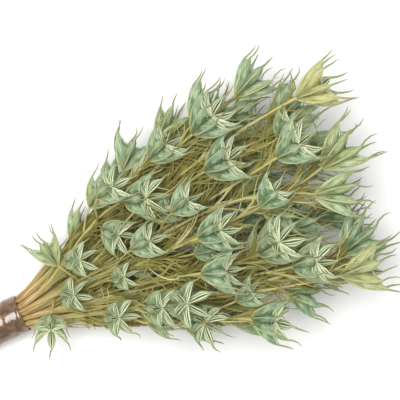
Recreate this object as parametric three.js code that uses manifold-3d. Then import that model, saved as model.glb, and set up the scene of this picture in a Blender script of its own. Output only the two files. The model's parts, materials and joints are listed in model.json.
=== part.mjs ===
// A tied bunch of dried seed stems with beaked, star-shaped seed pods, lying on its side.
// Millimetres, +Z up. The stems run along +X from their cut ends to the pods. They are gathered
// at a neck that a wrap holds, and fan out from it. The origin is under the middle of the
// bunch, on the surface that it lies on.

import * as THREE from 'three';
import { mergeVertices } from 'three/addons/utils/BufferGeometryUtils.js';
import Module from 'manifold-3d';

// The neck and its wrap
const STEM_COUNT = 36;
const STEM_RADIUS = 1.25; // to the corners of the four-sided stem
const STEM_PITCH = 1.95; // spacing of the sunflower pattern that packs the stems in the neck
const NECK_RADIUS = STEM_PITCH * Math.sqrt(STEM_COUNT);
const WRAP_LENGTH = 40;
const WRAP_SIDES = 20;
const WRAP_RADIUS = 15.2;
const WRAP_WALL = 1.4;
const NECK_HEIGHT = WRAP_RADIUS * Math.cos(Math.PI / WRAP_SIDES); // a flat side lies down
const NECK_CLEAR = 3; // stems stay parallel this far beyond each end of the wrap
const TAIL_LENGTH = 95; // cut ends beyond the wrap
const TAIL_RAGGED = 12; // how unevenly the ends are cut
const TAIL_SPREAD = 1.35;

// The fan of the head: how far it reaches from the neck, to the sides and upwards
const SIDE_FLARE = 0.4;
const RISE_FLARE = 0.27;
const HEAD_HALF_WIDTH = 76;
const HEAD_HALF_HEIGHT = 46;
const HEAD_FLOOR = 3;
const HEAD_END = 240;

// How far the beaks may stick out of the fan
const OUTLINE_START = 32;
const OUTLINE_FLARE = 0.55;
const OUTLINE_HALF_WIDTH = 102;
const OUTLINE_HEIGHT = 128;
const OUTLINE_END = 282;

// Stems, branches and gaps
const HEAD_STEPS = 7;
const LEAVE_SHARE = 0.36; // part of a stem's length that still follows the fan of the neck
const ARRIVE_SHARE = 0.3; // part of it that runs in line with the pod
const STEM_SWAY = 50;
const BRANCH_RADIUS = 1.05; // to the corners of the three-sided branch
const BRANCH_LENGTH = 30;
const BRANCH_STEPS = 3;
const BRANCH_LEAVE_SHARE = 0.35;
const BRANCH_ARRIVE_SHARE = 0.4;
const SUNK = 2.5; // how deep a stem ends inside the cup of its pod
const HALF_GAP = 0.2; // kept free round everything

// One pod at size 1: [radius from its axis, height along it]
const POD_FOOT = -2;
const CROTCH = [5, 15.8];
const MOUTH = 17.5;
const KEEL = [12, 10.5];
const SHOULDER = [15.4, 20.5];
const LIP = [10.8, 21.9];
const LIP_HALF = 2.4;
const LEAN = 0.6; // how unevenly the lobes open
const BEAK_ROOT = [15, 25];
const BEAK_HALF = 0.5;
const BEAK_TIP = [19, 36];
const BEAK_STRAY = 1.6;
const END_LOBES = 8; // a pod at the end of a stem
const SIDE_LOBES = 6; // a smaller pod on a side branch

// Pods grow larger from the neck to the far end.
const NECK_SIZE = 0.76;
const FAR_SIZE = 1.04;

// The room that a pod takes, as short fat lines: each from and to, then its radius
const CUP_ROOM = [[3, 6, 3.5], [8, 13, 5.5]];
const LOBE_ROOM = [[[4.5, 3.5], [10, 12], 2.8], [[10, 13], [12.7, 21.2], 3.5]];
const BEAK_ROOM = [[14.4, 24.4], 1];

const POD_COUNT = 73;
const TRIES = 4000;
const FILL_TRIES = 40000;
const SEED = 7351;

// Pods that end a stem and lie uppermost, front first: how far along from the neck, how far
// across, the way they point from +X towards +Y, and their lift, in degrees
const UPPER_ENDS = [
  [160, 40, 5, 20],
  [140, -5, 0, 25],
  [170, -25, 10, 50],
  [190, -45, -5, 30],
  [215, 25, 5, 30],
  [170, 65, 20, 25],
  [135, -25, -15, 25],
  [245, 55, 5, 5],
  [245, 15, 15, 5],
  [235, -5, -5, 5],
  [220, -70, -10, 5],
  [200, 85, 25, 0],
  [230, 65, 35, 0],
  [200, 65, 0, 15],
  [220, -35, 5, 10],
  [150, -70, -25, 25],
  [155, -50, 15, 20],
  [160, 35, -15, 15],
  [200, 10, -10, 35],
  [230, -25, -5, 0],
  [105, 40, -20, 35],
  [115, -55, -50, 50],
  [190, -70, -25, 0],
  [190, 60, -25, 5],
  [135, 60, 20, 30],
  [165, -60, -25, 5],
];

// Pods on side branches that lie uppermost, in the same terms
const UPPER_SIDES = [
  [35, 0, -10, 55],
  [95, 10, 0, 30],
  [100, 45, 20, 25],
  [80, 45, 20, 20],
  [50, 20, -15, 45],
  [60, -25, -25, 55],
  [110, -40, -25, 50],
  [20, -10, -115, 55],
  [40, 25, 100, 10],
  [90, -30, -25, 50],
  [70, 20, -30, 10],
  [60, 10, -35, 20],
  [110, 60, 45, 0],
  [130, 70, 30, -10],
  [165, 75, 35, -5],
  [220, -75, -50, 0],
];

// Pods that fill the head elsewhere: along it, how far out from its middle, and their size
const FILL_ALONG = { middle: 138, half: 102 };
const FILL_OUT = { middle: 0.7, half: 0.35 };
const FILL_SIZE = { middle: 0.82, half: 0.13 };

// Stems that end out of sight: where along the head, and how far across it
const HIDDEN_ALONG = { start: 150, length: 85 };
const HIDDEN_ACROSS = 0.85;
const EVEN_STEPS = [0.7549, 0.5698]; // two steps that spread points evenly over a square
const EVEN_STARTS = [0.3, 0.2];

const DRIED_GREEN = '#a3ad84';
const WRAP_BROWN = '#9e8c72';

const X = new THREE.Vector3(1, 0, 0);
const Y = new THREE.Vector3(0, 1, 0);
const Z = new THREE.Vector3(0, 0, 1);

const wasm = await Module();
wasm.setup();

// Seeded draws between -1 and 1

let state = SEED;

function draw() {
  state = (state * 16807) % 2147483647;
  return (2 * state) / 2147483647 - 1;
}

function draws(count) {
  return Array.from({ length: count }, draw);
}

// The envelope of the head, at a distance from the neck

function halfWidth(along) {
  return Math.min(HEAD_HALF_WIDTH, WRAP_RADIUS + SIDE_FLARE * along);
}

function halfHeight(along) {
  return Math.min(HEAD_HALF_HEIGHT, NECK_HEIGHT + RISE_FLARE * along - HEAD_FLOOR);
}

function middleHeight(along) {
  return halfHeight(along) + HEAD_FLOOR;
}

function topHeight(along, across) {
  const share = Math.min(1, Math.abs(across) / (halfWidth(along) + SHOULDER[0]));
  return middleHeight(along) + halfHeight(along) * Math.sqrt(1 - share * share);
}

function podSize(along) {
  return THREE.MathUtils.lerp(NECK_SIZE, FAR_SIZE, Math.min(1, along / HEAD_END));
}

function heading(degrees, lift) {
  const turn = THREE.MathUtils.degToRad(degrees);
  const rise = THREE.MathUtils.degToRad(lift);
  return new THREE.Vector3(
    Math.cos(rise) * Math.cos(turn),
    Math.cos(rise) * Math.sin(turn),
    Math.sin(rise),
  );
}

// A pod, and points on it

function makePod(base, axis, size, lobes, spin) {
  const first = new THREE.Vector3().crossVectors(axis, Math.abs(axis.z) < 0.9 ? Z : Y).normalize();
  const second = new THREE.Vector3().crossVectors(axis, first);
  return { base, axis, size, lobes, spin, first, second };
}

function podPoint(pod, turn, [radius, height], aside = 0) {
  const angle = pod.spin + (turn * 2 * Math.PI) / pod.lobes;
  const outward = radius * Math.cos(angle) - aside * Math.sin(angle);
  const sideways = radius * Math.sin(angle) + aside * Math.cos(angle);
  return pod.base
    .clone()
    .addScaledVector(pod.first, outward * pod.size)
    .addScaledVector(pod.second, sideways * pod.size)
    .addScaledVector(pod.axis, height * pod.size);
}

// Each lobe of a pod opens and points a little differently.
function uneven(pod, lobe) {
  return Math.sin(3.7 * lobe + 11 * pod.spin);
}

function beakTip(pod, lobe) {
  const stray = BEAK_STRAY * uneven(pod, lobe);
  return podPoint(pod, lobe, [BEAK_TIP[0] + stray, BEAK_TIP[1] - stray], stray);
}

// The foot and the mouth of a pod, then the nine corners of each lobe
function podPoints(pod) {
  const points = [podPoint(pod, 0, [0, POD_FOOT]), podPoint(pod, 0, [0, MOUTH])];
  for (let lobe = 0; lobe < pod.lobes; lobe += 1) {
    const lean = LEAN * uneven(pod, lobe + 1);
    const lip = [LIP[0] + lean, LIP[1] - lean];
    const rootOut = [BEAK_ROOT[0] + BEAK_HALF, BEAK_ROOT[1] - BEAK_HALF];
    const rootIn = [BEAK_ROOT[0] - BEAK_HALF, BEAK_ROOT[1]];
    points.push(
      podPoint(pod, lobe - 0.5, CROTCH),
      podPoint(pod, lobe, KEEL),
      podPoint(pod, lobe, [SHOULDER[0] + lean, SHOULDER[1] - lean]),
      podPoint(pod, lobe, lip, -LIP_HALF),
      podPoint(pod, lobe, lip, LIP_HALF),
      podPoint(pod, lobe, rootOut),
      podPoint(pod, lobe, rootIn, -BEAK_HALF),
      podPoint(pod, lobe, rootIn, BEAK_HALF),
      beakTip(pod, lobe),
    );
  }
  return points;
}

function lowest(pod) {
  return Math.min(...podPoints(pod).map((point) => point.z));
}

// A lobe is a keeled blade that grows out of the cup: its two sides meet at the keel outside and
// part in two lips inside, and it narrows at the shoulder to a thin beak.
function podSolid(pod) {
  const points = podPoints(pod);
  const foot = 0;
  const mouth = 1;
  const perLobe = (points.length - 2) / pod.lobes;
  const faces = [];
  for (let lobe = 0; lobe < pod.lobes; lobe += 1) {
    const start = 2 + lobe * perLobe;
    const corners = Array.from({ length: perLobe }, (unused, corner) => start + corner);
    const [left, keel, shoulder, lipLeft, lipRight, rootKeel, rootLeft, rootRight, tip] = corners;
    const right = 2 + ((lobe + 1) % pod.lobes) * perLobe;
    faces.push(
      [foot, keel, left],
      [foot, right, keel],
      [left, keel, shoulder],
      [left, shoulder, lipLeft],
      [right, shoulder, keel],
      [right, lipRight, shoulder],
      [mouth, left, lipLeft],
      [mouth, lipRight, right],
      [mouth, lipLeft, lipRight],
      [shoulder, rootKeel, rootLeft],
      [shoulder, rootLeft, lipLeft],
      [shoulder, rootRight, rootKeel],
      [shoulder, lipRight, rootRight],
      [lipLeft, rootLeft, rootRight],
      [lipLeft, rootRight, lipRight],
      [rootKeel, tip, rootLeft],
      [rootRight, tip, rootKeel],
      [rootLeft, tip, rootRight],
    );
  }
  const geometry = new THREE.BufferGeometry();
  geometry.setFromPoints(points);
  geometry.setIndex(faces.flat());
  return solid(geometry);
}

// The room that pods and stems take, so that none runs through another

function rod(from, to, radius) {
  const middle = from.clone().lerp(to, 0.5);
  const reach = from.distanceTo(to) / 2 + radius;
  return { from, to, radius, middle, reach };
}

function podRods(pod) {
  const rods = CUP_ROOM.map(([low, high, radius]) => {
    const from = podPoint(pod, 0, [0, low]);
    return rod(from, podPoint(pod, 0, [0, high]), radius * pod.size + HALF_GAP);
  });
  const [beakFrom, beakRadius] = BEAK_ROOM;
  for (let lobe = 0; lobe < pod.lobes; lobe += 1) {
    for (const [from, to, radius] of LOBE_ROOM) {
      const root = podPoint(pod, lobe, from);
      rods.push(rod(root, podPoint(pod, lobe, to), radius * pod.size + HALF_GAP));
    }
    const beak = podPoint(pod, lobe, beakFrom);
    rods.push(rod(beak, beakTip(pod, lobe), beakRadius * pod.size + HALF_GAP));
  }
  return rods;
}

function pathRods(path, radius) {
  return path.slice(1).map((point, step) => rod(path[step], point, radius + HALF_GAP));
}

// The least distance between two straight lines of limited length
function gapBetween(one, other) {
  const { clamp } = THREE.MathUtils;
  const along = one.to.clone().sub(one.from);
  const across = other.to.clone().sub(other.from);
  const apart = one.from.clone().sub(other.from);
  const both = along.dot(across);
  const skew = along.lengthSq() * across.lengthSq() - both * both;
  const ahead = both * across.dot(apart) - along.dot(apart) * across.lengthSq();
  const guess = skew > 1e-9 ? clamp(ahead / skew, 0, 1) : 0;
  const there = clamp((both * guess + across.dot(apart)) / across.lengthSq(), 0, 1);
  const here = clamp((both * there - along.dot(apart)) / along.lengthSq(), 0, 1);
  return apart.addScaledVector(along, here).addScaledVector(across, -there).length();
}

function isFree(rods, taken) {
  for (const one of rods) {
    for (const other of taken) {
      const near = one.middle.distanceTo(other.middle) < one.reach + other.reach;
      if (near && gapBetween(one, other) < one.radius + other.radius) return false;
    }
  }
  return true;
}

// Whether the beaks stay inside the outline of the head and nothing is under the surface
function keepsIn(pod, path, radius) {
  for (let lobe = 0; lobe < pod.lobes; lobe += 1) {
    const tip = beakTip(pod, lobe);
    const limit = Math.min(OUTLINE_HALF_WIDTH, OUTLINE_START + OUTLINE_FLARE * tip.x);
    if (Math.abs(tip.y) > limit || tip.z > OUTLINE_HEIGHT || tip.x > OUTLINE_END) return false;
  }
  return path.every((point) => point.z > radius) && lowest(pod) > -1e-9;
}

// Solids

function solid(geometry) {
  geometry.deleteAttribute('normal');
  geometry.deleteAttribute('uv');
  const merged = mergeVertices(geometry, 1e-4);
  const mesh = new wasm.Mesh({
    numProp: 3,
    vertProperties: new Float32Array(merged.attributes.position.array),
    triVerts: new Uint32Array(merged.index.array),
  });
  return new wasm.Manifold(mesh);
}

// A path that is swept ring by ring through its own points
class RingPath extends THREE.Curve {
  constructor(points) {
    super();
    this.points = points;
  }

  getPointAt(share) {
    return this.points[Math.round(share * (this.points.length - 1))].clone();
  }

  getTangentAt(share) {
    const last = this.points.length - 1;
    const here = Math.round(share * last);
    const next = this.points[Math.min(last, here + 1)];
    return next.clone().sub(this.points[Math.max(0, here - 1)]).normalize();
  }
}

function polygon(sides, radius, firstTurn) {
  return Array.from({ length: sides }, (unused, side) => {
    const angle = ((side + firstTurn) * 2 * Math.PI) / sides;
    return new THREE.Vector2(radius * Math.cos(angle), radius * Math.sin(angle));
  });
}

function tubeSolid(path, sides, radius) {
  const section = new THREE.Shape(polygon(sides, radius, 0));
  const steps = path.length - 1;
  const extrudePath = new RingPath(path);
  return solid(new THREE.ExtrudeGeometry(section, { steps, extrudePath, bevelEnabled: false }));
}

function wrapSolid() {
  const outline = new THREE.Shape(polygon(WRAP_SIDES, WRAP_RADIUS, 0.5));
  outline.holes.push(new THREE.Path(polygon(WRAP_SIDES, WRAP_RADIUS - WRAP_WALL, 0.5)));
  const geometry = new THREE.ExtrudeGeometry(outline, { depth: WRAP_LENGTH, bevelEnabled: false });
  geometry.rotateX(Math.PI / 2).rotateZ(Math.PI / 2);
  geometry.translate(-WRAP_LENGTH, 0, NECK_HEIGHT);
  return solid(geometry);
}

// Stems in the neck are packed like the seeds of a sunflower.

const slots = Array.from({ length: STEM_COUNT }, (unused, slot) => {
  const radius = STEM_PITCH * Math.sqrt(slot + 0.5);
  const angle = slot * Math.PI * (3 - Math.sqrt(5));
  return { across: radius * Math.cos(angle), above: radius * Math.sin(angle) };
});

// Under the uppermost pods, more stems end out of sight. Every other one of them lies on the
// surface, and the rest are in the middle of the head.
const ends = UPPER_ENDS.map(([along, across, turn, lift]) => {
  return { along, across, turn, lift, height: topHeight(along, across), upper: true };
});
for (let hidden = 0; ends.length < STEM_COUNT; hidden += 1) {
  const [shareAlong, shareAcross] = EVEN_STEPS.map((step, n) => (EVEN_STARTS[n] + step * hidden) % 1);
  const along = HIDDEN_ALONG.start + HIDDEN_ALONG.length * shareAlong;
  const across = HIDDEN_ACROSS * halfWidth(along) * (2 * shareAcross - 1);
  const lies = hidden % 2 === 0;
  const height = lies ? SHOULDER[0] : middleHeight(along);
  ends.push({ along, across, turn: across / 5, lift: 0, height, lies });
}

// Each end takes the slot that lies the same way from the middle as it does.

function slotMiss(end, slot) {
  const aside = (NECK_RADIUS * end.across) / halfWidth(end.along);
  const above = (NECK_RADIUS * (end.height - middleHeight(end.along))) / halfHeight(end.along);
  return (slot.across - aside) ** 2 + (slot.above - above) ** 2;
}

for (let pass = 0; pass < 6; pass += 1) {
  for (let one = 0; one < STEM_COUNT; one += 1) {
    for (let other = one + 1; other < STEM_COUNT; other += 1) {
      const kept = slotMiss(ends[one], slots[one]) + slotMiss(ends[other], slots[other]);
      const swapped = slotMiss(ends[one], slots[other]) + slotMiss(ends[other], slots[one]);
      if (swapped < kept) [slots[one], slots[other]] = [slots[other], slots[one]];
    }
  }
}

// A stem runs straight through the neck, then in one bend to the pod at its end.

function neckPoint(slot, along, spread = 1) {
  return new THREE.Vector3(along, spread * slot.across, spread * (NECK_HEIGHT + slot.above));
}

function stemPath(slot, tail, pod, sway, rise) {
  const start = neckPoint(slot, NECK_CLEAR);
  const rear = neckPoint(slot, -WRAP_LENGTH - NECK_CLEAR);
  const cutEnd = neckPoint(slot, rear.x - tail, TAIL_SPREAD);
  const end = pod.base.clone().addScaledVector(pod.axis, SUNK * pod.size);
  const length = start.distanceTo(end);
  const flareAcross = (SIDE_FLARE * slot.across) / NECK_RADIUS;
  const flareUp = RISE_FLARE * (1 + slot.above / NECK_RADIUS);
  const leave = new THREE.Vector3(1, flareAcross, flareUp).normalize();
  const nearNeck = start.clone().addScaledVector(leave, LEAVE_SHARE * length);
  const nearPod = end.clone().addScaledVector(pod.axis, -ARRIVE_SHARE * length);
  nearPod.addScaledVector(Y, sway).addScaledVector(Z, rise);
  const bend = new THREE.CubicBezierCurve3(start, nearNeck, nearPod, end);
  return [cutEnd, rear, ...bend.getPoints(HEAD_STEPS)];
}

const taken = [];
const stems = [];
let podCount = 0;

// The stems that aren't placed yet keep their way through the neck.
const neckRods = slots.map((slot) => {
  return rod(neckPoint(slot, -WRAP_LENGTH), neckPoint(slot, NECK_CLEAR), STEM_RADIUS + HALF_GAP);
});

// A stem looks for room near its wanted end, further and further off it.
function tryStem(end, slot, loose) {
  const [goX, goY, goZ, turnBy, liftBy, sizeBy, spinBy, tailBy, swayBy, riseBy] = draws(10);
  const reach = 2 + (end.upper ? 42 : 60) * loose;
  const limit = Math.max(Math.abs(end.across), 0.8 * halfWidth(end.along));
  const base = new THREE.Vector3(
    end.along + goX * reach,
    THREE.MathUtils.clamp(end.across + goY * reach, -limit, limit),
    end.height - (end.upper ? Math.abs(goZ) : goZ) * (2 + 60 * loose),
  );
  const off = 5 + 30 * loose;
  const axis = heading(end.turn + turnBy * off, end.lift + liftBy * off);
  const size = podSize(end.along) * (1 + 0.07 * sizeBy);
  const pod = makePod(base, axis, size, END_LOBES, Math.PI * spinBy);
  if (end.lies) pod.base.z -= lowest(pod);
  const sway = STEM_SWAY * loose;
  const path = stemPath(slot, TAIL_LENGTH + TAIL_RAGGED * tailBy, pod, sway * swayBy, sway * riseBy);
  return { pod, path, room: podRods(pod), rods: pathRods(path, STEM_RADIUS) };
}

slots.forEach((slot, index) => {
  const others = neckRods.filter((neck, other) => other !== index);
  for (let attempt = 0; attempt < TRIES; attempt += 1) {
    const stem = tryStem(ends[index], slot, (attempt / TRIES) ** 2);
    const { pod, path, room, rods } = stem;
    const inside = keepsIn(pod, path, STEM_RADIUS);
    if (inside && isFree(room, taken) && isFree(rods, taken) && isFree(rods, others)) {
      taken.push(...room, ...rods);
      podCount += 1;
      stems.push({ path, rods, parts: [tubeSolid(path, 4, STEM_RADIUS), podSolid(pod)] });
      return;
    }
  }
  throw new Error(`no room for stem ${index + 1}`);
});

// A side pod hangs on a short branch from the nearest stem behind it.

function nearestOnStems(point) {
  let best = { miss: Infinity };
  stems.forEach((stem) => {
    const bend = stem.path.slice(2, -1);
    for (let step = 1; step < bend.length; step += 1) {
      const line = new THREE.Line3(bend[step - 1], bend[step]);
      const foot = line.closestPointToPoint(point, true, new THREE.Vector3());
      const miss = foot.distanceTo(point);
      if (miss < best.miss) best = { miss, foot, stem };
    }
  });
  return best;
}

function branchPath(foot, pod) {
  const end = pod.base.clone().addScaledVector(pod.axis, SUNK * pod.size);
  const length = foot.distanceTo(end);
  const nearStem = foot.clone().addScaledVector(X, BRANCH_LEAVE_SHARE * length);
  const nearPod = end.clone().addScaledVector(pod.axis, -BRANCH_ARRIVE_SHARE * length);
  return new THREE.CubicBezierCurve3(foot, nearStem, nearPod, end).getPoints(BRANCH_STEPS);
}

function addSidePod(base, axis, size, spin, reach) {
  const pod = makePod(base, axis, size, SIDE_LOBES, spin);
  const { foot, stem } = nearestOnStems(base.clone().addScaledVector(axis, -reach));
  const path = branchPath(foot, pod);
  const room = podRods(pod);
  const rods = pathRods(path, BRANCH_RADIUS);
  const others = taken.filter((other) => !stem.rods.includes(other));
  if (!keepsIn(pod, path, BRANCH_RADIUS) || !isFree(room, taken) || !isFree(rods, others)) return false;
  taken.push(...room, ...rods);
  stem.parts.push(tubeSolid(path, 3, BRANCH_RADIUS), podSolid(pod));
  podCount += 1;
  return true;
}

function trySide([along, across, turn, lift], loose) {
  const [goX, goY, goZ, turnBy, liftBy, sizeBy, spinBy, reachBy] = draws(8);
  const base = new THREE.Vector3(
    along + goX * (2 + 14 * loose),
    across + goY * (2 + 14 * loose),
    topHeight(along, across) + goZ * (2 + 30 * loose),
  );
  const axis = heading(turn + 30 * loose * turnBy, lift + 30 * loose * liftBy);
  const size = podSize(along) * (0.97 + 0.08 * sizeBy);
  return addSidePod(base, axis, size, Math.PI * spinBy, BRANCH_LENGTH * (1 + 0.35 * reachBy));
}

for (const side of UPPER_SIDES) {
  for (let attempt = 0; attempt < TRIES; attempt += 1) {
    if (trySide(side, (attempt / TRIES) ** 2)) break;
  }
}

function between({ middle, half }, share) {
  return middle + half * share;
}

// More side pods fill the head on every side, where there is room.
function tryFill() {
  const [alongBy, round, outBy, turnBy, liftBy, sizeBy, spinBy, reachBy] = draws(8);
  const along = between(FILL_ALONG, alongBy);
  const out = between(FILL_OUT, outBy);
  const upward = Math.sin(Math.PI * round);
  const across = halfWidth(along) * out * Math.cos(Math.PI * round);
  const base = new THREE.Vector3(along, across, middleHeight(along) + halfHeight(along) * out * upward);
  const axis = heading(0.3 * across + 25 * turnBy, 25 * upward + 20 * liftBy);
  const size = podSize(along) * between(FILL_SIZE, sizeBy);
  addSidePod(base, axis, size, Math.PI * spinBy, BRANCH_LENGTH * (1 + 0.45 * reachBy));
}

for (let attempt = 0; attempt < FILL_TRIES && podCount < POD_COUNT; attempt += 1) tryFill();

// The meshes

function meshOf(name, body, origin, material) {
  const { vertProperties, triVerts } = body.getMesh();
  const geometry = new THREE.BufferGeometry();
  geometry.setAttribute('position', new THREE.BufferAttribute(new Float32Array(vertProperties), 3));
  geometry.setIndex(new THREE.BufferAttribute(new Uint32Array(triVerts), 1));
  geometry.translate(-origin.x, -origin.y, -origin.z);
  const mesh = new THREE.Mesh(geometry, material);
  mesh.name = name;
  mesh.position.copy(origin);
  return mesh;
}

const bunch = new THREE.Group();
stems.forEach(({ parts, path }, index) => {
  const name = `seed_stem_${String(index + 1).padStart(2, '0')}`;
  const body = parts.reduce((sum, grown) => sum.add(grown));
  const dried = new THREE.MeshStandardMaterial({ color: DRIED_GREEN, roughness: 0.75, metalness: 0 });
  bunch.add(meshOf(name, body, path[2], dried));
});
const glossy = new THREE.MeshStandardMaterial({ color: WRAP_BROWN, roughness: 0.35, metalness: 0 });
bunch.add(meshOf('tie_wrap', wrapSolid(), new THREE.Vector3(0, 0, NECK_HEIGHT), glossy));

const extent = new THREE.Box3().setFromObject(bunch);
bunch.position.set(
  -(extent.min.x + extent.max.x) / 2,
  -(extent.min.y + extent.max.y) / 2,
  -extent.min.z,
);

const part = new THREE.Group();
part.add(bunch);

export default part;
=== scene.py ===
# %% [markdown]
# # A tied bunch of dried seed pods
# The object is a bunch of dried stems that lies on a table. Every stem ends in a star of pointed
# seed cases, called follicles, that are grown together at their feet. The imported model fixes
# where each stem and pod is, and this lesson gives them their real forms and finishes.

# %% Load the fixed frame
import json
import math

import bmesh
import bpy
from mathutils import Matrix, Vector, kdtree, noise

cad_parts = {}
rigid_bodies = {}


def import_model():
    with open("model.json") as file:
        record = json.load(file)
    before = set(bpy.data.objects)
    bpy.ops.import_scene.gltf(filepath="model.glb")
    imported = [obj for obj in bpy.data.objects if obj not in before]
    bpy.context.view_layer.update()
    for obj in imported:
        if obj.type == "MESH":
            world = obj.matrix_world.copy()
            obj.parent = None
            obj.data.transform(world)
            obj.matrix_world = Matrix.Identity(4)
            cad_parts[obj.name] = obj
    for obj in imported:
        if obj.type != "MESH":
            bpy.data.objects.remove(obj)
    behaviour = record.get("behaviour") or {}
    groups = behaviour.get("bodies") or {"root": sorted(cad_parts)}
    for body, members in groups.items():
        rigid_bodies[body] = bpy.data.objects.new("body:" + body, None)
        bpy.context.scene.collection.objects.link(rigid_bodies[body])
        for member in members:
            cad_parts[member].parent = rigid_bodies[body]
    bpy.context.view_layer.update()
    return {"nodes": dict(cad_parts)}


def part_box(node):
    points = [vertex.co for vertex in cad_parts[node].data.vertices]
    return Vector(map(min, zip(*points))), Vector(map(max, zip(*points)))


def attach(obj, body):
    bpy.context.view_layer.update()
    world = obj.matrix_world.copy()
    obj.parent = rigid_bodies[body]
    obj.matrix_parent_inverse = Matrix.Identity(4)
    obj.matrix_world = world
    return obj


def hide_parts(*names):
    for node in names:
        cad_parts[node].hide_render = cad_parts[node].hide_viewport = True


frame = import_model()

MM = 0.001
X, Y, Z = Vector((1, 0, 0)), Vector((0, 1, 0)), Vector((0, 0, 1))

# %% [markdown]
# ## The camera
# The photograph looks straight down on the bunch, with the tied neck at its lower left edge. A
# camera close by would make the uppermost pods look too large, so a long lens looks from high up.
# The neck is where the wrap ends, and the frame gives that place. Every length along the bunch is
# measured from there.

# %% Place the camera over the bunch
wrap_low, wrap_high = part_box("tie_wrap")
NECK = Vector((wrap_high.x, (wrap_low.y + wrap_high.y) / 2, 0)) / MM
BUNCH_TURN = math.radians(25)  # the bunch points up to the right in the picture
VIEW_ALONG, VIEW_ACROSS = 152.3, 20.1  # mm from the neck to the middle of the picture
VIEW_WIDTH = 280  # mm of the bunch across the picture
VIEW_HEIGHT = 60  # mm above the table, where the view is that wide
LENS = 135
SENSOR = 36

camera_data = bpy.data.cameras.new("camera")
camera_data.lens = LENS
camera_data.sensor_width = SENSOR
camera = bpy.data.objects.new("camera", camera_data)
bpy.context.scene.collection.objects.link(camera)
looked_at = NECK + Vector((VIEW_ALONG, VIEW_ACROSS, VIEW_HEIGHT))
camera.location = (looked_at + Z * (VIEW_WIDTH * LENS / SENSOR)) * MM
camera.rotation_euler = (0, 0, -BUNCH_TURN)
bpy.context.scene.camera = camera
print("camera height in m:", round(camera.location.z, 3))

# %% [markdown]
# ## Where the pods are
# A bunch like this could be laid out by hand, pod by pod, but that gives a list that nobody can
# change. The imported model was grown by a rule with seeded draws: each pod tries places until one
# is free. The scene repeats the same draws, and it knows the free one by its beaks, because
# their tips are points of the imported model.

# %% The neck and the fan of the head, in millimetres
STEM_COUNT = 36
STEM_PITCH = 1.95  # spacing of the stems in the neck
NECK_RADIUS = STEM_PITCH * math.sqrt(STEM_COUNT)
WRAP_LENGTH = 40
WRAP_SIDES = 20
WRAP_RADIUS = 15.2  # to its corners
WRAP_FLAT = WRAP_RADIUS * math.cos(math.pi / WRAP_SIDES)  # to its flat sides
NECK_HEIGHT = WRAP_FLAT  # the wrap lies on one of them
NECK_CLEAR = 3  # the stems stay parallel this far beyond the wrap
TAIL_LENGTH, TAIL_RAGGED, TAIL_SPREAD = 95, 12, 1.35  # the cut ends behind the wrap
SIDE_FLARE, RISE_FLARE = 0.4, 0.27  # how fast the head widens and rises from the neck
HEAD_HALF_WIDTH, HEAD_HALF_HEIGHT, HEAD_FLOOR, HEAD_END = 76, 46, 3, 240
print(STEM_COUNT, "stems in a neck", round(2 * NECK_RADIUS, 1), "mm across")

# %% The bends of stems and branches: shares of their length, and millimetres
LEAVE_SHARE, ARRIVE_SHARE, STEM_SWAY = 0.36, 0.3, 50
BRANCH_LENGTH, BRANCH_LEAVE_SHARE, BRANCH_ARRIVE_SHARE = 30, 0.35, 0.4
HEAD_STEPS = 7  # steps of a stem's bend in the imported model
SUNK = 2.5  # how deep a stem ends inside its pod

# %% One pod at size 1: radius from its axis and height along it
POD_FOOT, MOUTH = -2, 17.5
CROTCH, KEEL, SHOULDER, LIP = (5, 15.8), (12, 10.5), (15.4, 20.5), (10.8, 21.9)
LIP_HALF, LEAN = 2.4, 0.6
BEAK_ROOT, BEAK_HALF, BEAK_TIP, BEAK_STRAY = (15, 25), 0.5, (19, 36), 1.6
END_LOBES, SIDE_LOBES = 8, 6  # follicles of a pod at a stem's end and on a side branch
NECK_SIZE, FAR_SIZE = 0.76, 1.04  # pods grow larger from the neck to the far end
print("the largest pods are", round(BEAK_TIP[1] * FAR_SIZE), "mm long with their beaks")

# %% The uppermost pods: along and across the bunch, their turn and their lift
UPPER_ENDS = [
    (160, 40, 5, 20), (140, -5, 0, 25), (170, -25, 10, 50), (190, -45, -5, 30), (215, 25, 5, 30),
    (170, 65, 20, 25), (135, -25, -15, 25), (245, 55, 5, 5), (245, 15, 15, 5), (235, -5, -5, 5),
    (220, -70, -10, 5), (200, 85, 25, 0), (230, 65, 35, 0), (200, 65, 0, 15), (220, -35, 5, 10),
    (150, -70, -25, 25), (155, -50, 15, 20), (160, 35, -15, 15), (200, 10, -10, 35),
    (230, -25, -5, 0), (105, 40, -20, 35), (115, -55, -50, 50), (190, -70, -25, 0),
    (190, 60, -25, 5), (135, 60, 20, 30), (165, -60, -25, 5),
]
UPPER_SIDES = [
    (35, 0, -10, 55), (95, 10, 0, 30), (100, 45, 20, 25), (80, 45, 20, 20), (50, 20, -15, 45),
    (60, -25, -25, 55), (110, -40, -25, 50), (20, -10, -115, 55), (40, 25, 100, 10),
    (90, -30, -25, 50), (70, 20, -30, 10), (60, 10, -35, 20), (110, 60, 45, 0), (130, 70, 30, -10),
    (165, 75, 35, -5), (220, -75, -50, 0),
]
# Pods that have turned yellow, by their place, and how far they have turned
YELLOWED = {(245, 55): 1.42, (220, -70): 1.25, (245, 15): 1.1, (170, -25): 0.8}
print(len(UPPER_ENDS), "upper ends and", len(UPPER_SIDES), "upper side pods")

# %% How freely the rule places a pod
POD_COUNT, TRIES, FILL_TRIES = 73, 4000, 40000
# Millimetres or degrees off the wanted place: at the first try, and what the last one adds
UPPER_STRAY, HIDDEN_STRAY, DEPTH_STRAY, TURN_STRAY = (2, 42), (2, 60), (2, 60), (5, 30)
SIDE_STRAY, SIDE_DEPTH_STRAY, SIDE_TURN_STRAY = (2, 14), (2, 30), (0, 30)
STRAY_LIMIT = 0.8  # share of the head's half width that a straying pod stays within
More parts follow.
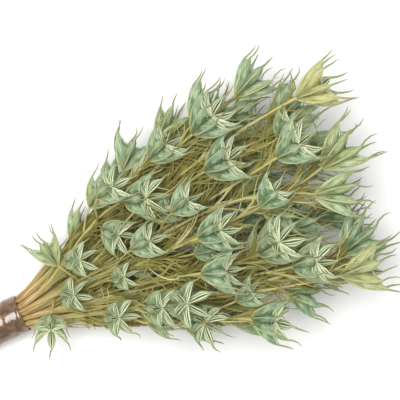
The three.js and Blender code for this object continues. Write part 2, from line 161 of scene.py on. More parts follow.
# The middle of what is drawn, and how far a draw goes to either side of it
END_SIZE, SIDE_SIZE, FILL_SIZE = (1, 0.07), (0.97, 0.08), (0.82, 0.13)
SIDE_REACH, FILL_REACH = (1, 0.35), (1, 0.45)
FILL_ALONG, FILL_OUT = (138, 102), (0.7, 0.35)
FILL_FAN, FILL_TURN, FILL_RISE, FILL_LIFT = 0.3, 25, 25, 20  # degrees, the first one per mm
# Stems that end out of sight are spread evenly: along the head and across it
HIDDEN_ALONG, HIDDEN_ACROSS, HIDDEN_FAN = (150, 85), 0.85, 5
EVEN_STARTS, EVEN_STEPS = (0.3, 0.2), (0.7549, 0.5698)
SEED = 7351


def vary(start_and_more, share):
    start, more = start_and_more
    return start + more * share


# %% Seeded draws between -1 and 1
draw_state = [SEED]


def draws(count):
    found = []
    for _ in range(count):
        draw_state[0] = draw_state[0] * 16807 % 2147483647
        found.append(2 * draw_state[0] / 2147483647 - 1)
    return found


def as_share(drawn):
    """A draw between -1 and 1 as a share between 0 and 1."""
    return 0.5 + 0.5 * drawn


def clamp(value, low, high):
    return max(low, min(high, value))


# %% The envelope of the head, at a distance from the neck
def half_width(along):
    return min(HEAD_HALF_WIDTH, WRAP_RADIUS + SIDE_FLARE * along)


def half_height(along):
    return min(HEAD_HALF_HEIGHT, NECK_HEIGHT + RISE_FLARE * along - HEAD_FLOOR)


def middle_height(along):
    return half_height(along) + HEAD_FLOOR


def top_height(along, across):
    share = min(1, abs(across) / (half_width(along) + SHOULDER[0]))
    return middle_height(along) + half_height(along) * math.sqrt(1 - share * share)


def pod_size(along):
    return NECK_SIZE + (FAR_SIZE - NECK_SIZE) * min(1, along / HEAD_END)


print("the head is", 2 * half_width(HEAD_END), "mm wide and", 2 * half_height(HEAD_END), "mm deep")


# %% A pod's place as a matrix
def heading(degrees, lift):
    turn, rise = math.radians(degrees), math.radians(lift)
    flat = math.cos(rise)
    return Vector((flat * math.cos(turn), flat * math.sin(turn), math.sin(rise)))


def make_pod(base, axis, size, lobes, spin):
    first = axis.cross(Z if abs(axis.z) < 0.9 else Y).normalized()
    turn = Matrix((first, axis.cross(first), axis)).transposed().to_4x4()
    scale = Matrix.Rotation(spin, 4, "Z") @ Matrix.Scale(size, 4)
    place = Matrix.Translation(base) @ turn @ scale
    return {"base": base, "axis": axis, "size": size, "lobes": lobes, "spin": spin, "place": place}


# %% Points on a pod, among them the tips of its beaks
def differ(pod, lobe, step, turn):
    """Between -1 and 1, and unlike from follicle to follicle and from pod to pod."""
    return math.sin(step * lobe + turn * pod["spin"])


def uneven(pod, lobe):
    return differ(pod, lobe, 3.7, 11)


def pod_point(pod, turn, radius, height, aside=0):
    angle = turn * 2 * math.pi / pod["lobes"]
    outward = radius * math.cos(angle) - aside * math.sin(angle)
    sideways = radius * math.sin(angle) + aside * math.cos(angle)
    return pod["place"] @ Vector((outward, sideways, height))


def beak_tip(pod, lobe):
    stray = BEAK_STRAY * uneven(pod, lobe)
    return pod_point(pod, lobe, BEAK_TIP[0] + stray, BEAK_TIP[1] - stray, stray)


def lowest(pod):
    found = [pod_point(pod, 0, 0, POD_FOOT), pod_point(pod, 0, 0, MOUTH)]
    for lobe in range(pod["lobes"]):
        lean = LEAN * uneven(pod, lobe + 1)
        found += [
            pod_point(pod, lobe - 0.5, *CROTCH),
            pod_point(pod, lobe, *KEEL),
            pod_point(pod, lobe, SHOULDER[0] + lean, SHOULDER[1] - lean),
            pod_point(pod, lobe, LIP[0] + lean, LIP[1] - lean, -LIP_HALF),
            pod_point(pod, lobe, LIP[0] + lean, LIP[1] - lean, LIP_HALF),
            pod_point(pod, lobe, BEAK_ROOT[0] + BEAK_HALF, BEAK_ROOT[1] - BEAK_HALF),
            pod_point(pod, lobe, BEAK_ROOT[0] - BEAK_HALF, BEAK_ROOT[1], -BEAK_HALF),
            pod_point(pod, lobe, BEAK_ROOT[0] - BEAK_HALF, BEAK_ROOT[1], BEAK_HALF),
            beak_tip(pod, lobe),
        ]
    return min(point.z for point in found)


# %% Know a placed pod by the tips of its beaks
point_count = sum(len(node.data.vertices) for node in frame["nodes"].values())
packed_points = kdtree.KDTree(point_count)
for node in frame["nodes"].values():
    for vertex in node.data.vertices:
        packed_points.insert(vertex.co / MM - NECK, 0)
packed_points.balance()
SAME_PLACE = 0.05  # mm
print(point_count, "points in the packed model")


def is_packed(pod):
    """Two tips out of three are enough, because a tip may have been cut by another form."""
    misses = 0
    for lobe in (0, 2, 4):
        if packed_points.find(beak_tip(pod, lobe))[2] > SAME_PLACE:
            misses += 1
            if misses == 2:
                return False
    return True


# %% [markdown]
# ## Stems through the neck
# In the neck the stems lie side by side, and each one leaves it on the side where its pod is. They
# could start on a plain grid, but a round bundle packs more evenly in the spiral of a sunflower's
# seeds. The ends then swap their slots in that spiral until few stems have to cross.

# %% Pack the stems in the neck like the seeds of a sunflower
slots = []
for slot in range(STEM_COUNT):
    radius = STEM_PITCH * math.sqrt(slot + 0.5)
    angle = slot * math.pi * (3 - math.sqrt(5))
    slots.append((radius * math.cos(angle), radius * math.sin(angle)))


def neck_point(slot, along, spread=1):
    return Vector((along, spread * slot[0], spread * (NECK_HEIGHT + slot[1])))


# %% Where the stems end: the uppermost pods, then every other hidden one on the table
ends = []
for x, y, turn, lift in UPPER_ENDS:
    height = top_height(x, y)
    ends.append(
        {"along": x, "across": y, "turn": turn, "lift": lift, "height": height, "kind": "upper"}
    )
for hidden in range(STEM_COUNT - len(ends)):
    on, over = [(start + step * hidden) % 1 for start, step in zip(EVEN_STARTS, EVEN_STEPS)]
    x = vary(HIDDEN_ALONG, on)
    y = HIDDEN_ACROSS * half_width(x) * (2 * over - 1)
    kind = "lies" if hidden % 2 == 0 else "middle"
    height = SHOULDER[0] if kind == "lies" else middle_height(x)
    ends.append(
        {"along": x, "across": y, "turn": y / HIDDEN_FAN, "lift": 0, "height": height, "kind": kind}
    )
print(len(ends), "stems end,", len(UPPER_ENDS), "of them on top")


# %% Give each end the slot that lies the same way from the middle
def slot_miss(end, slot):
    aside = NECK_RADIUS * end["across"] / half_width(end["along"])
    rise = end["height"] - middle_height(end["along"])
    above = NECK_RADIUS * rise / half_height(end["along"])
    return (slot[0] - aside) ** 2 + (slot[1] - above) ** 2


SWAP_PASSES = 6
for _ in range(SWAP_PASSES):
    for one in range(STEM_COUNT):
        for other in range(one + 1, STEM_COUNT):
            kept = slot_miss(ends[one], slots[one]) + slot_miss(ends[other], slots[other])
            swapped = slot_miss(ends[one], slots[other]) + slot_miss(ends[other], slots[one])
            if swapped < kept:
                slots[one], slots[other] = slots[other], slots[one]


# %% The bend of a stem from the neck to its pod
def bend(start, near_start, near_end, end, steps):
    points = []
    for step in range(steps + 1):
        t = step / steps
        s = 1 - t
        near = near_start * (3 * s * s * t) + near_end * (3 * s * t * t)
        points.append(start * s**3 + near + end * t**3)
    return points


def stem_bend(slot, pod, sway, rise):
    start = neck_point(slot, NECK_CLEAR)
    end = pod["base"] + pod["axis"] * (SUNK * pod["size"])
    length = (end - start).length
    aside = SIDE_FLARE * slot[0] / NECK_RADIUS
    leave = Vector((1, aside, RISE_FLARE * (1 + slot[1] / NECK_RADIUS))).normalized()
    near_pod = end - pod["axis"] * (ARRIVE_SHARE * length) + Y * sway + Z * rise
    return start, start + leave * (LEAVE_SHARE * length), near_pod, end


# %% Try places for the pod at a stem's end until one is in the frame
def try_stem(end, slot, loose):
    go_x, go_y, go_z, turn_by, lift_by, size_by, spin_by, tail_by, sway_by, rise_by = draws(10)
    upper = end["kind"] == "upper"
    reach = vary(UPPER_STRAY if upper else HIDDEN_STRAY, loose)
    limit = max(abs(end["across"]), STRAY_LIMIT * half_width(end["along"]))
    sunk = abs(go_z) if upper else go_z
    base = Vector((
        end["along"] + go_x * reach,
        clamp(end["across"] + go_y * reach, -limit, limit),
        end["height"] - sunk * vary(DEPTH_STRAY, loose),
    ))
    off = vary(TURN_STRAY, loose)
    axis = heading(end["turn"] + turn_by * off, end["lift"] + lift_by * off)
    size = pod_size(end["along"]) * vary(END_SIZE, size_by)
    pod = make_pod(base, axis, size, END_LOBES, math.pi * spin_by)
    if end["kind"] == "lies":
        pod = make_pod(base - Z * lowest(pod), axis, size, END_LOBES, math.pi * spin_by)
    sway = STEM_SWAY * loose
    return pod, TAIL_LENGTH + TAIL_RAGGED * tail_by, sway * sway_by, sway * rise_by


stems = []
for end, slot in zip(ends, slots):
    for attempt in range(TRIES):
        pod, tail, sway, rise = try_stem(end, slot, (attempt / TRIES) ** 2)
        if is_packed(pod):
            handles = stem_bend(slot, pod, sway, rise)
            stems.append({
                "pods": [pod], "slot": slot, "tail": tail, "bend": handles, "branches": [],
                "place": (end["along"], end["across"]),
            })
            break
print(len(stems), "stems found in the frame")


# %% [markdown]
# ## Side pods on branches
# A stem also carries smaller pods on short branches. Each one could be hung on a stem by hand, but
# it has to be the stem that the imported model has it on. That is the nearest one behind the pod, so
# the scene looks for the same stem.

# %% Hang a side pod on the nearest stem behind it
def nearest_on_stems(point):
    best = (math.inf, None, None)
    for stem in stems:
        line = bend(*stem["bend"], HEAD_STEPS)[:-1]
        for start, end in zip(line, line[1:]):
            way = end - start
            share = clamp((point - start).dot(way) / way.length_squared, 0, 1)
            foot = start + way * share
            miss = (foot - point).length
            if miss < best[0]:
                best = (miss, foot, stem)
    return best[1], best[2]


def add_side_pod(base, axis, size, spin, reach):
    pod = make_pod(base, axis, size, SIDE_LOBES, spin)
    if not is_packed(pod):
        return False
    foot, stem = nearest_on_stems(base - axis * reach)
    end = base + axis * (SUNK * size)
    length = (end - foot).length
    near_stem = foot + X * (BRANCH_LEAVE_SHARE * length)
    near_pod = end - axis * (BRANCH_ARRIVE_SHARE * length)
    stem["branches"].append((foot, near_stem, near_pod, end))
    stem["pods"].append(pod)
    return True


# %% Try places for the side pods, first the uppermost ones and then those that fill the head
def try_side(side, loose):
    along, across, turn, lift = side
    go_x, go_y, go_z, turn_by, lift_by, size_by, spin_by, reach_by = draws(8)
    off = vary(SIDE_STRAY, loose)
    height = top_height(along, across) + go_z * vary(SIDE_DEPTH_STRAY, loose)
    base = Vector((along + go_x * off, across + go_y * off, height))
    off = vary(SIDE_TURN_STRAY, loose)
    axis = heading(turn + off * turn_by, lift + off * lift_by)
    size = pod_size(along) * vary(SIDE_SIZE, size_by)
    reach = BRANCH_LENGTH * vary(SIDE_REACH, reach_by)
    return add_side_pod(base, axis, size, math.pi * spin_by, reach)


def try_fill():
    along_by, round_by, out_by, turn_by, lift_by, size_by, spin_by, reach_by = draws(8)
    along = vary(FILL_ALONG, along_by)
    out = vary(FILL_OUT, out_by)
    upward = math.sin(math.pi * round_by)
    across = half_width(along) * out * math.cos(math.pi * round_by)
    base = Vector((along, across, middle_height(along) + half_height(along) * out * upward))
    turn = FILL_FAN * across + FILL_TURN * turn_by
    axis = heading(turn, FILL_RISE * upward + FILL_LIFT * lift_by)
    size = pod_size(along) * vary(FILL_SIZE, size_by)
    reach = BRANCH_LENGTH * vary(FILL_REACH, reach_by)
    return add_side_pod(base, axis, size, math.pi * spin_by, reach)


side_pods = 0
for side in UPPER_SIDES:
    for attempt in range(TRIES):
        if try_side(side, (attempt / TRIES) ** 2):
            side_pods += 1
            break
for _ in range(FILL_TRIES):
    if len(stems) + side_pods == POD_COUNT:
        break
    side_pods += try_fill()
print(side_pods, "side pods found in the frame")

# %% [markdown]
# ## The forms of a follicle
# A follicle is a seed case like a flat pea pod that stands on edge. Its keel points outwards, its
# two lips point inwards and part a little, and at its shoulder it narrows to a thread-like beak.
# It could be carved from a block, but its wall is a folded sheet, so a flat grid is bent into half
# a follicle here, mirrored at the keel and spun round the pod's axis.

# %% The lines that a follicle follows: along it, radius from the pod's axis and height
# The foot and the mouth are single points on the axis, and so is the tip of the beak.
KEEL_LINE = [
    (0, 0, -2.2), (0.06, 3, -0.7), (0.16, 7.2, 3), (0.27, 10.8, 7.6), (0.38, 13.4, 12.4),
    (0.49, 15.4, 17), (0.57, 16.5, 20.5), (0.64, 17, 23), (0.7, 17.3, 25), (0.79, 18, 28.8),
    (0.89, 19, 33.4), (1, 20.4, 38),
]
LIP_LINE = [
    (0, 0, 18.2), (0.06, 0.8, 18.4), (0.16, 2.8, 19), (0.27, 5.4, 19.8), (0.38, 8.2, 20.9),
    (0.49, 11, 22.2), (0.57, 13.2, 23.4), (0.64, 14.9, 24.7), (0.7, 15.8, 25.9), (0.79, 16.8, 29.3),
    (0.89, 18.1, 33.7), (1, 20.4, 38),
]
# Half the thickness at the widest row
WIDTH_LINE = [
    (0, 0), (0.16, 2.4), (0.27, 3), (0.38, 3.3), (0.49, 3.1), (0.57, 2.5), (0.64, 1.6), (0.7, 0.9),
    (0.79, 0.62), (0.89, 0.46), (1, 0),
]
STATIONS = [line[0] for line in KEEL_LINE]
GROWN_TO = 0.27  # neighbours are grown together up to this station
BEAK_FROM = 0.7
# From the keel round to the slit between the lips: share of the way from the keel to the lip
# line, and share of half the thickness
SECTION = {
    "keel": (0, 0), "wall": (0.3, 0.84), "outer_edge": (0.6, 1), "inner_edge": (0.88, 0.82),
    "lip": (1.03, 0.34), "suture": (0.84, 0),
}
ROWS = list(SECTION)
GROWN_WALL = 0.42  # share of the way to a neighbour where the wall's row is, where both are grown
GROWN_BULGE = 0.8  # under 1 makes the grown walls bulge out near the foot
FREE_ROOM = 0.9  # share of the way to a neighbour that a follicle may fill
print("half a follicle:", len(STATIONS), "stations by", len(ROWS), "rows")


# %% A point of half a follicle
def on_line(line, share):
    for start, end in zip(line, line[1:]):
        if share <= end[0]:
            part = (share - start[0]) / (end[0] - start[0])
            return [a + (b - a) * part for a, b in zip(start[1:], end[1:])]
    return list(line[-1][1:])


def grown_point(along, row, lobes):
    """A point on the plane where two neighbours are grown together, up to their crotch."""
    share = along / GROWN_TO
    start = KEEL_LINE[0][2] if row == "outer_edge" else LIP_LINE[0][2]
    join = math.pi / lobes
    radius = CROTCH[0] * (share**GROWN_BULGE if row == "outer_edge" else share)
    height = start + (CROTCH[1] - start) * share
    return radius * math.cos(join), radius * math.sin(join), height


def follicle_point(along, row, lobes):
    if along <= GROWN_TO and row in ("outer_edge", "inner_edge"):
        return grown_point(along, row, lobes)
    keel, lip = Vector(on_line(KEEL_LINE, along)), Vector(on_line(LIP_LINE, along))
    share, out = SECTION[row]
    if row in ("lip", "suture") and (along == 0 or along >= BEAK_FROM):
        share = 1
    if row == "wall" and along <= GROWN_TO:
        edge = grown_point(along, "outer_edge", lobes)
        lip, share = Vector((edge[0], edge[2])), GROWN_WALL
    flat = keel.lerp(lip, share)
    room = FREE_ROOM * flat.x * math.tan(math.pi / lobes)
    return flat.x, min(room, out * on_line(WIDTH_LINE, along)[0]), flat.y


# %% Bend a grid into half a follicle, mirror it, and spin it round the pod
def bend_half_follicle(bm, lobes):
    """Gives the grid's points their places, and returns those on the planes of the neighbours."""
    along_layer = bm.verts.layers.float["along"]
    grown = []
    for vertex in bm.verts:
        station = STATIONS[round((vertex.co.x + 0.5) * (len(STATIONS) - 1))]
        row = ROWS[round((vertex.co.y + 0.5) * (len(ROWS) - 1))]
        vertex[along_layer] = station
        vertex.co = follicle_point(station, row, lobes)
        if row in ("outer_edge", "inner_edge") and station <= GROWN_TO:
            grown.append(vertex)
    uv = bm.loops.layers.uv.active
    for face in bm.faces:
        for loop in face.loops:
            loop[uv].uv.x = loop.vert[along_layer]
    return grown


def model_pod(lobes):
    bm = bmesh.new()
    bm.loops.layers.uv.new("UVMap")
    bmesh.ops.create_grid(
        bm, x_segments=len(STATIONS) - 1, y_segments=len(ROWS) - 1, size=0.5, calc_uvs=True
    )
    bm.verts.layers.float.new("along")
    bm.verts.layers.float.new("tint")
    grown = bend_half_follicle(bm, lobes)
    inner_walls = [face for face in bm.faces if sum(v in grown for v in face.verts) == 4]
    bmesh.ops.delete(bm, geom=inner_walls, context="FACES")
    bmesh.ops.mirror(bm, geom=bm.verts[:] + bm.edges[:] + bm.faces[:], axis="Y", merge_dist=0.001)
    bmesh.ops.spin(
        bm, geom=bm.verts[:] + bm.edges[:] + bm.faces[:], axis=Z, cent=(0, 0, 0),
        angle=2 * math.pi * (lobes - 1) / lobes, steps=lobes - 1, use_duplicate=True,
    )
    bmesh.ops.remove_doubles(bm, verts=bm.verts, dist=0.02)
    bmesh.ops.dissolve_degenerate(bm, edges=bm.edges, dist=0.01)
    bmesh.ops.recalc_face_normals(bm, faces=bm.faces)
    open_edges = sum(edge.is_boundary for edge in bm.edges)
    print(f"a pod of {lobes} follicles: {len(bm.faces)} faces, {open_edges} open edges")
    return bm


pod_forms = {lobes: model_pod(lobes) for lobes in (END_LOBES, SIDE_LOBES)}

# %% [markdown]
# ## Growing a pod where the frame has it
# Real pods are never alike: each follicle leans in or out, and each beak bends its own way. Every
# pod could be modelled anew, but one form can be copied and made uneven instead. The lean and the
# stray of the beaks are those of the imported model, so each copy fits its place in the frame.

# %% How uneven a pod is, in millimetres where nothing else is said
FREE_FROM = 0.5  # along a follicle: from here on it is free of its neighbours
PLUMP = 0.22  # share that a follicle is thicker or thinner than the form
BEAK_BOW, BEAK_HOOK = 2, 1.8  # how far a beak bows aside at its middle, and at its tip
CRUMPLE = 0.9  # how far a wall is dented or puffed up
DENTS_PER_MM = 0.3
CRUMPLE_FROM = 0.2  # along a follicle: the wall is crumpled from here on
ON_TABLE = 0.3  # points lower than this are pressed flat on the table
PRESSED = 0.1  # share of its depth that such a point keeps


def share_between(value, low, high):
    """0 at low and 1 at high, smooth between them."""
    t = clamp((value - low) / (high - low), 0, 1)
    return t * t * (3 - 2 * t)


# %% Copy a pod form, make it uneven, and put it in its place
def uneven_point(pod, point, along):
    """Leans and swells a follicle, crumples its wall and bends its beak, before it is placed."""
    x, y, height = point
    whole = 2 * math.pi / pod["lobes"]
    lobe = round(math.atan2(y, x) / whole) % pod["lobes"]
    angle = lobe * whole
    free = share_between(along, GROWN_TO, FREE_FROM)
    lean = LEAN * uneven(pod, lobe + 1) * free
    plump = 1 + PLUMP * differ(pod, lobe, 2.3, 5) * free
    on_beak = clamp((along - BEAK_FROM) / (1 - BEAK_FROM), 0, 1)
    stray = BEAK_STRAY * uneven(pod, lobe) * on_beak
    wave = 4 * BEAK_BOW * differ(pod, lobe, 5, 7) * on_beak * (1 - on_beak)
    wave += BEAK_HOOK * differ(pod, lobe, 7, 3) * on_beak**2
    dents = noise.noise(point * DENTS_PER_MM + Y * (40 * pod["spin"]))
    crumple = dents * CRUMPLE * (1 - on_beak)
    radius = x * math.cos(angle) + y * math.sin(angle) + lean + stray
    aside = (y * math.cos(angle) - x * math.sin(angle)) * plump + stray + wave
    return Vector((
        radius * math.cos(angle) - aside * math.sin(angle),
        radius * math.sin(angle) + aside * math.cos(angle),
        height - lean - stray + crumple * min(1, along / CRUMPLE_FROM),
    ))


def place_pod(pod):
    bm = pod_forms[pod["lobes"]].copy()
    along_layer = bm.verts.layers.float["along"]
    for vertex in bm.verts:
        vertex.co = pod["place"] @ uneven_point(pod, vertex.co, vertex[along_layer])
        if vertex.co.z < ON_TABLE:
            vertex.co.z = ON_TABLE + PRESSED * (vertex.co.z - ON_TABLE)
    return bm


# %% [markdown]
# ## Stalks
# A dried stalk is a thin ribbed straw that swells a little at its foot and under the pod. It could
# be a curve with a round bevel, but a rolled sheet also carries a map along and around it, which
# the streaks of the straw need. So a grid is rolled round the path, and its seam is welded.

# %% Roll a grid round a path
STALK_SIDES, BRANCH_SIDES, THREAD_SIDES = 7, 5, 3
STEM_STEPS, BRANCH_STEPS = 22, 8


def new_bmesh():
    bm = bmesh.new()
    bm.loops.layers.uv.new("UVMap")
    bm.verts.layers.float.new("along")
    bm.verts.layers.float.new("tint")
    return bm


def roll_stalk(path, radius_at, sides):
    bm = new_bmesh()
    last = len(path) - 1
    bmesh.ops.create_grid(bm, x_segments=last, y_segments=sides, size=0.5, calc_uvs=True)
    along_layer = bm.verts.layers.float["along"]
    for vertex in bm.verts:
        share, turn = vertex.co.x + 0.5, 2 * math.pi * (vertex.co.y + 0.5)
        here = round(share * last)
        way = (path[min(last, here + 1)] - path[max(0, here - 1)]).normalized()
        side = way.cross(Z if abs(way.z) < 0.95 else Y).normalized()
        out = side * math.cos(turn) + side.cross(way) * math.sin(turn)
        vertex.co = path[here] + out * radius_at(share)
        vertex[along_layer] = share
    bmesh.ops.remove_doubles(bm, verts=bm.verts, dist=0.001)
    bmesh.ops.holes_fill(bm, edges=[edge for edge in bm.edges if edge.is_boundary], sides=sides)
    bmesh.ops.recalc_face_normals(bm, faces=bm.faces)
    return bm


# %% How thick stems and branches are along their length, in millimetres
STEM_RADIUS, STEM_TAPER, STEM_SWELL = 1.3, 0.35, 0.25
BRANCH_RADIUS, BRANCH_FOOT, BRANCH_SWELL = 0.75, 0.25, 0.2
# Shares of the length between which a stem tapers, and it or a branch swells under its pod
STEM_TAPERS, STEM_SWELLS, BRANCH_SWELLS = (0.3, 0.9), (0.93, 1), (0.85, 1)


def stem_radius(share):
    swell = STEM_SWELL * share_between(share, *STEM_SWELLS)
    return STEM_RADIUS - STEM_TAPER * share_between(share, *STEM_TAPERS) + swell


def branch_radius(share):
    foot = BRANCH_FOOT * (1 - share) ** 4
    return BRANCH_RADIUS + foot + BRANCH_SWELL * share_between(share, *BRANCH_SWELLS)


print("a stem is", 2 * STEM_RADIUS, "mm thick at its cut end, and a branch", 2 * BRANCH_RADIUS)

# %% [markdown]
# ## From parts to one grown piece
# A stem, its leaves, its branches and its pods are grown together in the real bunch, and the
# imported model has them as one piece. They could stay apart as hundreds of objects, but one mesh
# for each stem is easier to move about. Every part brings its own material slot, and a tint that
# makes it a little greener or yellower than its neighbours.

# %% Join parts, and finish a piece
STRAW_SLOT, WALL_SLOT, LEAF_SLOT = range(3)
SHARP_EDGE = math.radians(50)
TINT_START, TINT_STEP = 0.37, 0.618034  # steps of this size never fall on the same tint


def stem_tint(number):
    return (TINT_START + TINT_STEP * number) % 1


def join_part(whole, part, slot, tint):
    """Adds a part to a whole, with the material slot and the tint of all its faces."""
    tint_layer = part.verts.layers.float["tint"]
    for vertex in part.verts:
        vertex[tint_layer] = tint
    for face in part.faces:
        face.material_index = slot
    carrier = bpy.data.meshes.new("carrier")
    part.to_mesh(carrier)
    part.free()
    whole.from_mesh(carrier)
    bpy.data.meshes.remove(carrier)


def finish_piece(bm, name, materials, *replaced):
    for edge in bm.edges:
        if len(edge.link_faces) == 2 and edge.calc_face_angle() > SHARP_EDGE:
            edge.smooth = False
    for face in bm.faces:
        face.smooth = True
    bmesh.ops.scale(bm, vec=(MM, MM, MM), verts=bm.verts)
    mesh = bpy.data.meshes.new(name)
    bm.to_mesh(mesh)
    bm.free()
    piece = bpy.data.objects.new(name, mesh)
    bpy.context.scene.collection.objects.link(piece)
    for material in materials:
        mesh.materials.append(material)
    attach(piece, "root")
    if replaced:
        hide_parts(*replaced)
    return piece


# %% [markdown]
# ## Leaves like threads
# The leaves of this plant are divided so finely that they are threads, and drying makes them curl.
# Some stalks of leaves come out of the wrap beside the stems, and hundreds of threads fill the
# head between the pods. Hair curves could draw them, but every piece has to be a mesh in the end.
# So each thread is a stalk with three sides, rolled round a bend that is drawn for it.

# %% Keep threads inside the head, and bend them
HEAD_LIMIT = 245  # mm from the neck
TABLE_ROOM, SIDE_ROOM, TOP_ROOM = 1.5, 2, 2  # mm
SHOULDER_SHARE = 0.8  # under 1 leaves threads more room over the sides of the head
THREAD_TURN, THREAD_RISE, THREAD_DROOP, THREAD_HOOK = 0.6, 0.5, 0.1, 0.3  # mm per mm of thread
NEAR_FOOT, NEAR_END = 0.3, 0.7  # shares of a thread's length where its handles are


def keep_in_head(point):
    along = min(point.x, HEAD_LIMIT)
    wide = half_width(along) - SIDE_ROOM
    across = clamp(point.y, -wide, wide)
    top = top_height(along, SHOULDER_SHARE * across) + TOP_ROOM
    return Vector((along, across, clamp(point.z, TABLE_ROOM, top)))


def settle(path):
    """Keeps a thread in the head, and evens out the corners that this makes."""
    kept = path[:1] + [keep_in_head(point) for point in path[1:]]
    trios = zip(kept, kept[1:], kept[2:])
    return kept[:1] + [(before + here * 2 + after) / 4 for before, here, after in trios] + kept[-1:]


def thread_path(start, way, length, steps):
    turn_by, rise_by, curl_by, hook_by = draws(4)
    side = way.cross(Z).normalized()
    above = side.cross(way)
    goes = way + side * (THREAD_TURN * turn_by) + above * (THREAD_RISE * rise_by - THREAD_DROOP)
    goes.normalize()
    hooked = side * (THREAD_HOOK * curl_by) + above * (THREAD_HOOK * hook_by)
    near_foot = start + way * (NEAR_FOOT * length)
    near_end = start + (goes - hooked * 0.5) * (NEAR_END * length)
    return settle(bend(start, near_foot, near_end, start + (goes + hooked) * length, steps))


# %% Grow the leaf stalks at the neck and the leaves in the head
STALKS_AT_NECK, LEAVES_IN_HEAD, SIDE_THREADS = 7, 26, 2  # on each stem, and on each leaf
NECK_STALK_RADIUS, LEAF_RADIUS, SIDE_THREAD_RADIUS = 0.95, 1.1, 0.8
THREAD_TAPER = 0.75  # share of its radius that a thread loses towards its end
INSIDE_WRAP = 6  # mm from the end of the wrap to the foot of a leaf stalk
STALK_STEPS = (8, 3.4)  # steps of the stem that a leaf stalk follows, and their spread
STALK_OFF = (1, 8)  # mm off the stem: at its foot, and what is added at its end
LEAF_FOOT = (20.5, -18.5)  # steps along the stem: the last one, and back towards the neck
LEAF_CROWDING = 1.5  # over 1 puts more of the leaves far out
LEAF_LENGTH = (40, 16)
LEAF_STEPS, SIDE_THREAD_STEPS, SIDE_THREAD_LENGTH = 6, 4, 0.5


def add_thread(bm, path, radius, tint, slot):
    def thinner(share):
        return radius * (1 - THREAD_TAPER * share)

    join_part(bm, roll_stalk(path, thinner, THREAD_SIDES), slot, tint)


def leaf_stalk(stem, line):
    """Comes out of the wrap beside its stem, and leaves the stem further on."""
    across_by, above_by, length_by = draws(3)
    last = round(vary(STALK_STEPS, length_by))
    path = [neck_point(stem["slot"], -INSIDE_WRAP)]
    for step in range(last + 1):
        off = vary(STALK_OFF, (step / last) ** 2)
        path.append(line[step] + Vector((0, off * across_by, off * above_by)))
    return settle(path)


def grow_leaf(bm, line):
    """A leaf from a step of its stem's line, with side threads from the steps of its own."""
    place_by, length_by, tint_by = draws(3)
    here = round(vary(LEAF_FOOT, as_share(place_by) ** LEAF_CROWDING))
    way = (line[here + 1] - line[here]).normalized()
    length, tint = vary(LEAF_LENGTH, length_by), as_share(tint_by)
    path = thread_path(line[here], way, length, LEAF_STEPS)
    add_thread(bm, path, LEAF_RADIUS, tint, LEAF_SLOT)
    for foot, after in list(zip(path[1:], path[2:]))[:SIDE_THREADS]:
        side_way = (after - foot).normalized()
        side_path = thread_path(foot, side_way, SIDE_THREAD_LENGTH * length, SIDE_THREAD_STEPS)
        add_thread(bm, side_path, SIDE_THREAD_RADIUS, tint, LEAF_SLOT)


def grow_leaves(bm, stem):
    line = bend(*stem["bend"], STEM_STEPS)
    for _ in range(STALKS_AT_NECK):
        tint = as_share(draws(1)[0])
        add_thread(bm, leaf_stalk(stem, line), NECK_STALK_RADIUS, tint, STRAW_SLOT)
    for _ in range(LEAVES_IN_HEAD):
        grow_leaf(bm, line)


# %% [markdown]
# ## Bare twigs
# A few pale twigs have lost their leaves and curl over the top of the bunch, where they catch the
# eye more than any thread inside it. Draws could place them too, but four things that are seen so
# well are better laid one by one. Each one is a bend between four points.

# %% Lay the twigs: along, across and height over the envelope, from the foot to the free end
TWIGS = [
    ((126, -27, -6), (115, -25, 5), (104, -17, 7), (101, -7, 6)),
    ((75, -32, -5), (86, -36, 5), (98, -46, 5), (112, -42, -3)),
    ((78, -40, -6), (84, -52, 3), (100, -56, 2), (118, -47, -4)),
    ((70, 18, -5), (88, 26, 4), (108, 30, 5), (126, 40, 1)),
]
TWIG_RADIUS, TWIG_STEPS = 0.95, 12
TWIG_TINT = 0.95  # pale, as the leaf's material has it


def grow_twigs(bm, number):
    """Each twig belongs to the stem that passes nearest its foot."""
    for twig in TWIGS:
        handles = [Vector((x, y, top_height(x, y) + over)) for x, y, over in twig]
        foot, owner = nearest_on_stems(handles[0])
        if owner is stems[number - 1]:
            path = bend(foot, *handles[1:], TWIG_STEPS)
            add_thread(bm, path, TWIG_RADIUS, TWIG_TINT, LEAF_SLOT)


# %% Grow a stem from its cut end to its pods
TAIL_MIDDLE, TAIL_MIDDLE_SPREAD = 0.4, 0.25  # the cut ends spread most in their last part


def stem_path(stem):
    slot, tail = stem["slot"], stem["tail"]
    rear = -WRAP_LENGTH - NECK_CLEAR
    cut_end = neck_point(slot, rear - tail, TAIL_SPREAD)
    spread = 1 + TAIL_MIDDLE_SPREAD * (TAIL_SPREAD - 1)
    middle = neck_point(slot, rear - TAIL_MIDDLE * tail, spread)
    path = [cut_end, cut_end.lerp(middle, 0.5), middle, neck_point(slot, rear)]
    return path + [neck_point(slot, rear / 2)] + bend(*stem["bend"], STEM_STEPS)


def grow_stem(number, stem):
    bm = new_bmesh()
    stalk = roll_stalk(stem_path(stem), stem_radius, STALK_SIDES)
    join_part(bm, stalk, STRAW_SLOT, stem_tint(number))
    grow_leaves(bm, stem)
    grow_twigs(bm, number)
    for handles in stem["branches"]:
        branch = roll_stalk(bend(*handles, BRANCH_STEPS), branch_radius, BRANCH_SIDES)
        join_part(bm, branch, STRAW_SLOT, stem_tint(number + 3))
    for index, pod in enumerate(stem["pods"]):
        tint = stem_tint(number * 3 + index * 7)
        if index == 0:
            tint = YELLOWED.get(stem["place"], tint)
        join_part(bm, place_pod(pod), WALL_SLOT, tint)
    bmesh.ops.translate(bm, verts=bm.verts, vec=NECK)
    return bm


